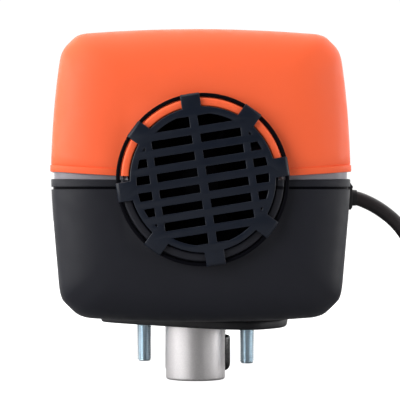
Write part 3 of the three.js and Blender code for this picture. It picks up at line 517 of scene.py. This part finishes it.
def lower_shell():
    """The black half: its tongue, the groove below it, and the holes in its sides and floor."""
    rim = bowed(RIM["side"], RIM["middle"])
    top, inset = TONGUE["top"], TONGUE["inset"]
    groove_top, groove_bottom, depth = GROOVE["top"], GROOVE["bottom"], GROOVE["depth"]

    def below(extra):
        return lambda x: rim(x) - extra

    outer = [(level(top), inset + 0.3), (level(top - 0.3), inset), (level(TONGUE["root"]), inset),
             (below(0), inset), (below(0), 0.4), (below(0.12), 0.1), (below(0.4), 0),
             (level(groove_top), 0), (level(groove_top - 0.1), depth),
             (level(groove_bottom + 0.1), depth), (level(groove_bottom), 0),
             (level(groove_bottom - 0.4), 0)]
    heights = [top, top - 0.3, TONGUE["root"], 62, 61, 60.5, 60, 59, 58.5, 58, 57.5,
               groove_bottom - 0.4]
    inner = [(level(z), WALL) for z in heights]  # one for each line of the outside
    bm = half_shell(outer, inner, False, AXIS_Z - 0.2)
    obj = piece("lower_shell_skin", [bm], "lower_shell", BLACK)
    hole_low, hole_high = box_mm("harness_grommet")
    for x in (HALF_WIDTH, -HALF_WIDTH):
        low = (x - 6, hole_low.y + 1, hole_low.z + 1)
        high = (x + 6, hole_high.y - 1, hole_high.z - 1)
        cut_out(obj, block(low, high, 0))
    floor_hole = plate([flange_outline(-FLANGE_HOLE["margin"])], FLANGE_HOLE["depth"], 0,
                       Matrix.Identity(4))
    cut_out(obj, floor_hole)
    # Painted highlight on the tongue and painted shade in the groove.
    paint_seam_highlight_and_shade(obj)
    return obj


def paint_seam_highlight_and_shade(obj):
    """The tongue that shows in the seam gets a painted highlight, paler than the shell, and the groove
    below it painted shade, darker.
    """
    obj.data.materials.append(TONGUE_PAINTED_HIGHLIGHT)
    obj.data.materials.append(PAINTED_SHADE_BLACK)
    # Painted highlight above the tongue's foot, painted shade between the groove's edges.
    for polygon in obj.data.polygons:
        height = polygon.center.z / MM
        if height > TONGUE["foot"]:
            polygon.material_index = 1
        elif GROOVE["bottom"] < height < GROOVE["top"]:
            polygon.material_index = 2


# ---- Intake grille ----

def grille_slots():
    """The slots' outlines in the grille's own directions, cut off by the edge of their field."""
    field, pitch, height = GRILLE["field"], GRILLE_ROWS["pitch"], GRILLE_ROWS["slot_height"]
    middle, side_from, side_to = (GRILLE_BARS["middle_width"] / 2, GRILLE_BARS["side_from"],
                                  GRILLE_BARS["side_to"])

    def reach(v):
        return math.sqrt(max(field ** 2 - v ** 2, 0))

    def slot(u0, u1, v0, v1):
        right = []
        for i in range(7):
            v = v0 + (v1 - v0) * i / 6
            u = min(u1, reach(v))
            if u > u0 + 0.05:
                right.append((u, v))
        return [(u0, v0), *right, (u0, right[-1][1])]

    quarter = []
    for row in range(3):
        v0 = (row + 0.5) * pitch - height / 2
        quarter.append(slot(middle, side_from, v0, v0 + height))
        quarter.append(slot(side_to, field, v0, v0 + height))
    end = 3 * pitch + GRILLE_ROWS["end_gap"]
    quarter.append(slot(middle, field, end, field))
    signs = [(su, sv) for su in (1, -1) for sv in (1, -1)]
    return [[(su * u, sv * v) for u, v in shape] for shape in quarter for su, sv in signs]


def tabbed_rim(steps=12):
    """The disc's rim with its tabs standing out of it."""
    radius, reach, half_width, tabs = GRILLE["radius"], TAB["reach"], TAB["half_width"], TAB["count"]
    rim = []
    half_turn = math.asin(half_width / radius)
    gap = 2 * math.pi / tabs - 2 * half_turn
    for i in range(tabs):
        middle = 2 * math.pi * i / tabs
        along = Vector((math.cos(middle), math.sin(middle)))
        across = Vector((-along.y, along.x))
        rim += [along * reach - across * half_width, along * reach + across * half_width]
        for j in range(steps + 1):
            angle = middle + half_turn + gap * j / steps
            rim.append(Vector((radius * math.cos(angle), radius * math.sin(angle))))
    return [tuple(p) for p in rim]


def circle(radius, centre=(0, 0), count=96):
    """A circle's outline."""
    turns = (2 * math.pi * i / count for i in range(count))
    return [(centre[0] + radius * math.cos(a), centre[1] + radius * math.sin(a)) for a in turns]


def grille_disc():
    """The slotted disc: a thin plate with the tabs' tops in its rim, and a thicker one inside it."""
    slots = grille_slots()
    face_y, thin = GRILLE_LOW.y, GRILLE["rim_thickness"]
    back = face_y + thin - 0.4
    rest = face_y + GRILLE["thickness"] - back

    def upright(front, depth):
        return Matrix.Translation((0, front + depth / 2, AXIS_Z)) @ ON_SIDE

    return [plate([tabbed_rim(), *slots], thin, 0.3, upright(face_y, thin)),
            plate([circle(GRILLE["radius"] - 0.2), *slots], rest, 0.25, upright(back, rest))]


def grille_ring():
    """The ring that the tabs hook over, as its own piece because it is painted shade, darker than the
    grille's plastic.
    """
    inner, outer = GRILLE_RING["inner"], GRILLE_RING["outer"]
    front, back = GRILLE_RING["front"], GRILLE_HIGH.y
    profile = rounded([(inner, back), (outer, back), (outer, front), (inner, front)],
                      [0.2, 0.3, 0.5, 0.4], 4)
    bm = lathe(profile, 128, "Y", (0, 0, AXIS_Z))
    return piece("intake_grille_ring", [bm], "intake_grille", PAINTED_SHADE_BLACK)


def grille_tab():
    """One hooked tab, from the disc's rim outward and back along the outside of the ring."""
    root, inner, outer, end = 30.2, TAB["leg_inner"], TAB["outer"], TAB["leg_end"]
    front = GRILLE_LOW.y + 0.02
    under = GRILLE_LOW.y + GRILLE["rim_thickness"]
    corners = [(root, front), (outer, front), (outer, end), (inner, end), (inner, under), (root, under)]
    leg = rounded(corners, [0, outer - TAB["reach"], 0.3, 0.2, 0.3, 0], 6)
    return plate([leg], 2 * TAB["half_width"], 0.3, Matrix.Translation((0, 0, AXIS_Z)))


def intake_grille():
    """A slotted disc whose hooked tabs hold it to a ring round the collar."""
    parts = grille_disc()
    grille_ring()
    for i in range(TAB["count"]):
        parts.append(turned_about_axis(grille_tab(), 2 * math.pi / TAB["count"] * i))
    for part in parts:
        turned_about_axis(part, GRILLE_TILT)
    return piece("intake_grille_shape", parts, "intake_grille", GRILLE_BLACK)


# ---- Outlet hood ----

def outlet_hood():
    """The duct spigot at the far end, with a retaining bead and a three-armed finger guard."""
    low, high = box_mm("outlet_hood")
    end, flange = high.y, high.x
    bore, spigot, neck = 27.8, 30.0, 33.6
    profile = rounded([
        (bore, low.y), (flange, low.y), (flange, REAR_Y - WALL - 0.4), (neck, REAR_Y - WALL - 0.4),
        (neck, REAR_Y + 0.4), (flange, REAR_Y + 0.4), (flange, REAR_Y + 2.8), (spigot, REAR_Y + 4.4),
        (spigot, end - 9), (spigot + 0.7, end - 8), (spigot + 0.7, end - 7), (spigot, end - 6),
        (spigot, end), (bore, end)],
        [0.3, 0.4, 0.3, 0.2, 0.2, 0.5, 0.9, 1.2, 0.4, 0.4, 0.4, 0.4, 0.9, 0.5], 4)
    hub = rounded([(0, end - 6.6), (7, end - 6.6), (7, end - 2.4), (0, end - 2.4)],
                  [0, 0.8, 1.6, 0], 5)
    parts = [lathe(profile, 128, "Y", (0, 0, AXIS_Z)), lathe(hub, 48, "Y", (0, 0, AXIS_Z))]
    for i in range(3):
        arm = block((5, end - 6, AXIS_Z - 1.2), (bore + 0.8, end - 3, AXIS_Z + 1.2), 0.5, 3)
        parts.append(turned_about_axis(arm, math.pi / 2 + 2 * math.pi / 3 * i))
    return piece("outlet_hood_moulding", parts, "outlet_hood", GRILLE_BLACK)


# ---- Underside ----

def flange_outline(inset, steps=8):
    """A rounded parallelogram that is the same when turned half round."""
    half = [Vector(corner) for corner in FLANGE_CORNERS]
    corners = [p * (1 - inset / p.length) for p in half + [-p for p in half]]
    rounding, points = 0.35, []
    for i, corner in enumerate(corners):
        before, after = corners[i - 1], corners[(i + 1) % len(corners)]
        start, end = corner.lerp(before, rounding), corner.lerp(after, rounding)
        points += [tuple(start), *(tuple(p) for p in bezier([start, corner, end], steps))]
    return points


def flange_plate(node, inset, edge, name, material):
    """The cast flange or its gasket, with holes for the studs, stubs and fuel pipe."""
    low, high = box_mm(node)
    outlines = [flange_outline(inset)]
    for other in (*STUDS, "intake_stub", "exhaust_stub", "fuel_pipe"):
        hole_low, hole_high = box_mm(other)
        centre = ((hole_low.x + hole_high.x) / 2, (hole_low.y + hole_high.y) / 2)
        outlines.append(circle((hole_high.x - hole_low.x) / 2 + FIT + edge, centre, 48))
    middle = Matrix.Translation((0, 0, (low.z + high.z) / 2))
    return piece(name, [plate(outlines, high.z - low.z, edge, middle)], node, material)


def stub(node, wall=2.0):
    """A cast stub with a rounded rim and an open bore."""
    low, high = box_mm(node)
    centre = ((low.x + high.x) / 2, (low.y + high.y) / 2, 0)
    outer = (high.x - low.x) / 2
    inner = outer - wall
    profile = rounded([(inner, low.z), (outer, low.z), (outer, high.z), (inner, high.z)],
                      [0.5, 1.1, 0.3, 0.3], 6)
    return piece(node + "_turned", [lathe(profile, 96, "Z", centre)], node, CAST, 40)


def stud(node, sides=40, per_turn=10):
    """A stud with a real helical thread below the flange and a plain shank in it."""
    low, high = box_mm(node)
    x, y = (low.x + high.x) / 2, (low.y + high.y) / 2
    pitch, crest = THREAD["pitch"], (high.x - low.x) / 2 + THREAD["proud"]
    root = crest - THREAD["depth"]
    count = round((THREAD["end"] - low.z) / pitch * per_turn)

    def radius_at(z, turn):
        phase = (z / pitch - turn) % 1
        flank = min(1, max(0, (abs(2 * phase - 1) - 0.35) / 0.3))
        return crest - THREAD["depth"] * flank

    points, faces = [], []
    for j in range(count + 2):
        z = low.z + pitch * j / per_turn if j <= count else high.z
        chamfer = crest - 0.85 + 0.9 * (z - low.z)
        for i in range(sides):
            turn = i / sides
            r = min(radius_at(z, turn) if j < count else root, chamfer)
            angle = 2 * math.pi * turn
            points.append(Vector((x + r * math.cos(angle), y + r * math.sin(angle), z)))
    for j in range(count + 1):
        here, above = j * sides, (j + 1) * sides
        for i in range(sides):
            k = (i + 1) % sides
            faces.append((here + i, here + k, above + k, above + i))
    faces.append(list(range(sides)))
    faces.append([(count + 1) * sides + i for i in range(sides)])
    return piece(node + "_threaded", [solid_from(points, faces)], node, ZINC, 50)


def fuel_parts():
    """The fuel pipe and the rubber cap on its end."""
    low, high = box_mm("fuel_pipe")
    centre = ((low.x + high.x) / 2, (low.y + high.y) / 2, 0)
    outer = (high.x - low.x) / 2
    inner = outer - 0.8
    profile = rounded([(inner, low.z), (outer, low.z), (outer, high.z), (inner, high.z)], [0.2] * 4, 3)
    piece("fuel_pipe_tube", [lathe(profile, 48, "Z", centre)], "fuel_pipe", STEEL)
    low, high = box_mm("fuel_pipe_cap")
    outer, bore, bore_end = (high.x - low.x) / 2, 2.7, low.z + 2
    profile = rounded([(0, low.z), (outer, low.z), (outer, high.z), (bore, high.z), (bore, bore_end),
                       (0, bore_end)], [0, 3.8, 1.6, 0.3, 0, 0], 8)
    piece("fuel_cap_moulding", [lathe(profile, 64, "Z", centre)], "fuel_pipe_cap", CAP_RUBBER, 50)


# ---- Harness ----

EXIT_Z = 53.8
LEAD_Y = -62
LEAD_ROUTE = [(x, LEAD_Y, z) for x, z in (
    (62.6, EXIT_Z), (64.4, 53.6), (67.2, 52.4), (70.2, 51.1), (75.2, 48), (80.4, 43.6), (84.8, 37.6),
    (88.4, 29.5), (91.2, 20.5), (93.8, 11.5), (96.6, 3), (100, -4.6), (104.2, -9.8), (109, -12.4),
    (112.4, -14), (115.8, -15.7), (119, -17.4), (121.6, -18.7))]
COIL_CENTRE = (124, -33.8)
COIL_Z = -19.3
TAIL_ROUTE = [(158, -24, -19.3), (158, -15, -19.3), (158, -10, -19), (158, -6, -18), (158, -2.5, -17.1)]
CORD_DIAMETER = 5.6


def coil_points(turns=1.25, per_turn=24, inner=28.2, outer=34.0):
    """A flat coil whose second turn lies outside its first, ending beside the connector."""
    points = []
    for i in range(int(turns * per_turn) + 1):
        turned = 360 * i / per_turn
        t = min(1, max(0, (turned - 90) / 250))
        radius = inner + (outer - inner) * t * t * (3 - 2 * t)
        angle = math.radians(turned - 90)
        x = COIL_CENTRE[0] + radius * math.cos(angle)
        y = COIL_CENTRE[1] + radius * math.sin(angle)
        points.append((x, y, COIL_Z))
    return points


def harness():
    """The cord from the grommet down to the plane of the stubs' ends, its coil and its tail."""
    route = LEAD_ROUTE + coil_points() + TAIL_ROUTE
    curve = bpy.data.curves.new("harness_cord", "CURVE")
    curve.dimensions = "3D"
    curve.bevel_depth = CORD_DIAMETER / 2 * MM
    curve.bevel_resolution = 6
    curve.use_fill_caps = True
    spline = curve.splines.new("NURBS")
    spline.points.add(len(route) - 1)
    for point, place in zip(spline.points, route):
        point.co = (*(Vector(place) * MM), 1)
    spline.order_u = 4
    spline.use_endpoint_u = True
    spline.resolution_u = 6
    cord = bpy.data.objects.new("harness_cord", curve)
    bpy.context.scene.collection.objects.link(cord)
    curve.materials.append(SHEATH)
    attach(cord, "casing")
    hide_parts("harness_lead", "harness_coil", "harness_tail")
    return cord


def coil_tie():
    """A strap round the turns of the coil, on the side towards the intake."""
    low, high = box_mm("harness_coil")
    inner, outer, half_length, thick, turned = 25.2, 37.2, 2.5, 0.6, math.radians(-50)
    x0, x1 = inner - 1.1, outer + 1.1
    z0, z1 = low.z - 0.7, high.z + 0.7
    parts = [block((x0, -half_length, z1 - thick), (x1, half_length, z1), 0.25),
             block((x0, -half_length, z0), (x1, half_length, z0 + thick), 0.25),
             block((x0, -half_length, z0), (x0 + thick, half_length, z1), 0.25),
             block((x1 - thick, -half_length, z0), (x1, half_length, z1), 0.25)]
    place = Matrix.Translation((*COIL_CENTRE, 0)) @ Matrix.Rotation(turned, 4, "Z")
    for part in parts:
        part.transform(place)
    return piece("coil_tie_strap", parts, "coil_tie", RUBBER)


def connector():
    """A multi-pole socket: a box with an open mouth, and the latch, ribs and collar on it."""
    low, high = box_mm("harness_connector")
    x, y0, y1 = (low.x + high.x) / 2, low.y + 4, high.y
    body_top, wall, mouth_depth = high.z - 2, 1.8, 12
    body = block((low.x, y0, low.z), (high.x, y1, body_top), 0.8, 3)
    obj = piece("connector_housing", [body], "harness_connector", DARK_PLASTIC)
    mouth_low = (low.x + wall, y1 - mouth_depth, low.z + wall)
    mouth_high = (high.x - wall, y1 + 1, body_top - wall)
    cut_out(obj, block(mouth_low, mouth_high, 0.2))
    extras = [block((x - 3.5, y0 + 6, body_top - 0.5), (x + 3.5, y1 - 4, high.z), 0.5, 3)]
    for i in range(4):
        rib_y = y0 + 3 + 3.2 * i
        for rib_x in (low.x + 1, high.x - 5):
            rib_low = (rib_x, rib_y, body_top - 0.6)
            rib_high = (rib_x + 4, rib_y + 1.2, body_top + 0.4)
            extras.append(block(rib_low, rib_high, 0.3))
    bore, collar_radius = CORD_DIAMETER / 2 + 0.05, 5
    collar = rounded([(bore, y0 - 4), (collar_radius, y0 - 4), (collar_radius, y0 + 1), (bore, y0 + 1)],
                     [0.2, 0.9, 0, 0], 5)
    extras.append(lathe(collar, 48, "Y", (x, 0, low.z + (body_top - low.z) / 2 - 1)))
    return [obj, piece("connector_latch", extras, "harness_connector", DARK_PLASTIC)]


def rubber_slab(node, side, near, far, inset, edge):
    """A rubber block in a side hole, from one distance to another off the casing's middle."""
    low, high = box_mm(node)
    x0, x1 = sorted((side * near, side * far))
    return block((x0, low.y + inset, low.z + inset), (x1, high.y - inset, high.z - inset), edge)


def harness_grommet():
    """The right hole's grommet: its flange and plug, a wedge-topped boss and the cord's sleeve."""
    node = "harness_grommet"
    low, high = box_mm(node)
    mid_y = (low.y + high.y) / 2
    wall, near, proud = HALF_WIDTH - 0.1, HALF_WIDTH + 0.05, HALF_WIDTH + 3.0
    parts = [rubber_slab(node, 1, wall, HALF_WIDTH + 0.9, 0, 0.35),
             rubber_slab(node, 1, HALF_WIDTH - 3.4, wall, 1.3, 0.3)]
    boss = [(near, 49), (proud - 0.7, 49), (proud, 50), (proud, 57.4), (proud + 0.3, 58.2),
            (proud - 1.9, 61.4), (near, 61.4)]
    parts.append(plate([boss], 10, 0.25, Matrix.Translation((0, mid_y, 0)) @ ON_SIDE))
    sleeve = lathe(rounded([(2.85, proud - 0.1), (3.3, proud - 0.1), (3.15, high.x), (2.85, high.x)],
                           [0, 0.1, 0.1, 0.05], 4), 48, "Z")
    sleeve.transform(Matrix.Translation((0, mid_y, EXIT_Z)) @ Matrix.Rotation(math.pi / 2, 4, "Y"))
    parts.append(sleeve)
    return piece("harness_grommet_moulding", parts, node, RUBBER)


def blind_plug():
    """The flush plug in the left hole, which no harness uses."""
    plug = rubber_slab("blind_plug", -1, HALF_WIDTH - 5, HALF_WIDTH - 0.6, 0, 0.4)
    return piece("blind_plug_moulding", [plug], "blind_plug", RUBBER)


# ---- Camera, light and stage ----

CAMERA = {"place": (-27.4, -822, 52.9), "turned": math.radians(2.1), "lens": 169.8, "sensor": 36}
STUDIO_MIDDLE = (0, 0, 0.06)  # metres, like the lights' places and sizes
ROOM_LIGHT = {"from": -0.5, "to": 0.25, "in_front": 0.05, "behind": 2.2}
BACKDROP_LIGHT = 1.05
FLOOR_GREY = 0.35
FLOOR_GLOW = 1.0


def camera():
    """A level camera in front of the intake, slightly to its left."""
    data = bpy.data.cameras.new("camera")
    data.sensor_width = CAMERA["sensor"]
    data.lens = CAMERA["lens"]
    data.clip_start = 0.05
    obj = bpy.data.objects.new("camera", data)
    bpy.context.scene.collection.objects.link(obj)
    obj.location = Vector(CAMERA["place"]) * MM
    obj.rotation_euler = (math.pi / 2, 0, -CAMERA["turned"])
    bpy.context.scene.camera = obj


def softbox(name, place, width, height, power):
    """A rectangular light that faces the heater."""
    data = bpy.data.lights.new(name, "AREA")
    data.shape = "RECTANGLE"
    data.size = width
    data.size_y = height
    data.energy = power
    obj = bpy.data.objects.new(name, data)
    bpy.context.scene.collection.objects.link(obj)
    obj.location = place
    toward = Vector(STUDIO_MIDDLE) - Vector(place)
    obj.rotation_euler = toward.to_track_quat("-Z", "Y").to_euler()


def lights():
    """Soft light from the left, with less from the right and above."""
    softbox("key_left", (-0.9, -1.0, 0.4), width=0.8, height=1.0, power=12)
    softbox("side_left", (-1.1, -0.35, 0.2), width=0.8, height=0.7, power=8)
    softbox("fill_right", (0.95, -0.9, 0.3), width=0.6, height=0.9, power=4)
    softbox("side_right", (1.1, -0.1, 0.02), width=0.5, height=0.4, power=4.5)
    softbox("top", (-0.3, -0.35, 1.0), width=1.0, height=0.6, power=3.5)


def room():
    """A white room, dim in front of the heater and bright behind it, with an even backdrop."""
    world = bpy.data.worlds.new("studio")
    world.use_nodes = True
    bpy.context.scene.world = world
    nodes, links = world.node_tree.nodes, world.node_tree.links
    walls = nodes["Background"]
    direction = nodes.new("ShaderNodeSeparateXYZ")
    links.new(nodes.new("ShaderNodeTexCoord").outputs["Generated"], direction.inputs["Vector"])
    dimmer = nodes.new("ShaderNodeMapRange")
    dimmer.interpolation_type = "SMOOTHSTEP"
    links.new(direction.outputs["Y"], dimmer.inputs["Value"])
    dimmer.inputs["From Min"].default_value = ROOM_LIGHT["from"]
    dimmer.inputs["From Max"].default_value = ROOM_LIGHT["to"]
    dimmer.inputs["To Min"].default_value = ROOM_LIGHT["in_front"]
    dimmer.inputs["To Max"].default_value = ROOM_LIGHT["behind"]
    links.new(dimmer.outputs["Result"], walls.inputs["Strength"])
    backdrop = nodes.new("ShaderNodeBackground")
    backdrop.inputs["Strength"].default_value = BACKDROP_LIGHT
    for background in (walls, backdrop):
        background.inputs["Color"].default_value = (1, 1, 1, 1)
    chooser = nodes.new("ShaderNodeMixShader")
    links.new(nodes.new("ShaderNodeLightPath").outputs["Is Camera Ray"], chooser.inputs["Fac"])
    links.new(walls.outputs["Background"], chooser.inputs[1])
    links.new(backdrop.outputs["Background"], chooser.inputs[2])
    links.new(chooser.outputs["Shader"], nodes["World Output"].inputs["Surface"])


def floor():
    """A pale floor at the stubs' ends, which the camera sees as white."""
    bm = bmesh.new()
    bmesh.ops.create_grid(bm, x_segments=1, y_segments=1, size=6)
    mesh = bpy.data.meshes.new("studio_floor")
    bm.to_mesh(mesh)
    bm.free()
    obj = bpy.data.objects.new("studio_floor", mesh)
    obj.location.z = FLOOR_Z * MM
    bpy.context.scene.collection.objects.link(obj)
    material = bpy.data.materials.new("studio_floor")
    material.use_nodes = True
    nodes, links = material.node_tree.nodes, material.node_tree.links
    shader = nodes["Principled BSDF"]
    shader.inputs["Base Color"].default_value = (FLOOR_GREY, FLOOR_GREY, FLOOR_GREY, 1)
    shader.inputs["Roughness"].default_value = 0.9
    shader.inputs["Specular IOR Level"].default_value = 0.0
    glow = nodes.new("ShaderNodeEmission")
    glow.inputs["Color"].default_value = (1, 1, 1, 1)
    glow.inputs["Strength"].default_value = FLOOR_GLOW
    seen = nodes.new("ShaderNodeMixShader")
    both = nodes.new("ShaderNodeAddShader")
    links.new(shader.outputs["BSDF"], both.inputs[0])
    links.new(glow.outputs["Emission"], both.inputs[1])
    links.new(nodes.new("ShaderNodeLightPath").outputs["Is Camera Ray"], seen.inputs["Fac"])
    links.new(shader.outputs["BSDF"], seen.inputs[1])
    links.new(both.outputs["Shader"], seen.inputs[2])
    links.new(seen.outputs["Shader"], nodes["Material Output"].inputs["Surface"])
    mesh.materials.append(material)


# ---- The heater ----

bpy.context.scene.view_settings.view_transform = "Standard"
camera()
lights()
room()
floor()
dress_frame()
cord = harness()
upper_shell()
lower_shell()
intake_grille()
outlet_hood()
flange_plate("mounting_flange", 1.6, 0.8, "mounting_flange_casting", CAST)
flange_plate("flange_gasket", 0, 1.0, "flange_gasket_sheet", RUBBER)
stub("intake_stub")
stub("exhaust_stub")
for stud_name in STUDS:
    stud(stud_name)
fuel_parts()
tie = coil_tie()
socket = connector()
harness_grommet()
blind_plug()
